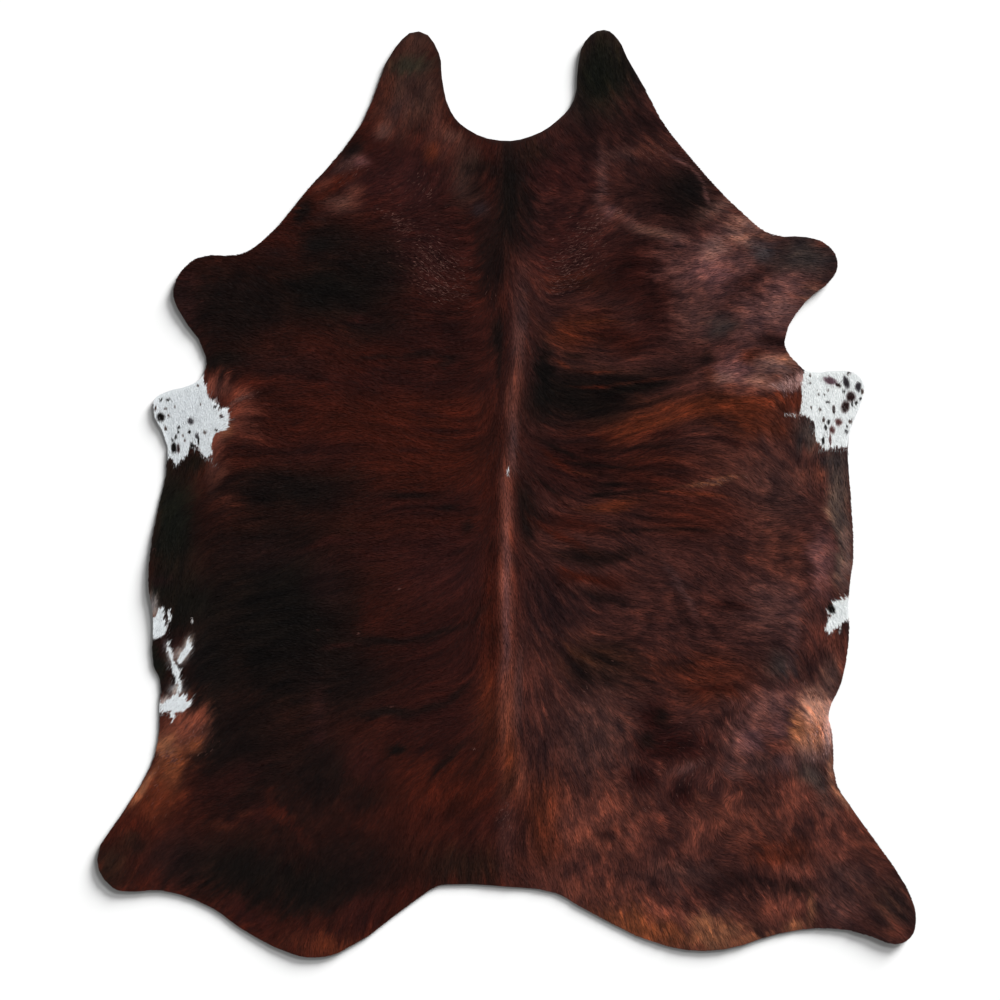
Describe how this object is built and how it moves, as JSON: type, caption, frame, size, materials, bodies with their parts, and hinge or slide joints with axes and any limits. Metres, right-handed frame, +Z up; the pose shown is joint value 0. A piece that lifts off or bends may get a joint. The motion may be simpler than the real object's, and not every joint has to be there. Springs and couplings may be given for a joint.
{
  "type": "cowhide rug",
  "caption": "Whole cattle hide rug with its hair on, lying flat, with neck, leg and belly lobes and a soft trimmed edge.",
  "frame": {"origin": "middle of the rug's plan box, on the surface that it lies on", "axes": "+Y from the tail edge to the neck, +X to the right seen from above with the neck away, +Z up"},
  "size_m": [1.8524, 2.1, 0.0157],
  "materials": {
    "hide": "brindle hair coat, dark brown with red-brown streaks, a little glossy, white at the belly flaps"
  },
  "bodies": {
    "root": {"hide": "hide"}
  },
  "joints": []
}
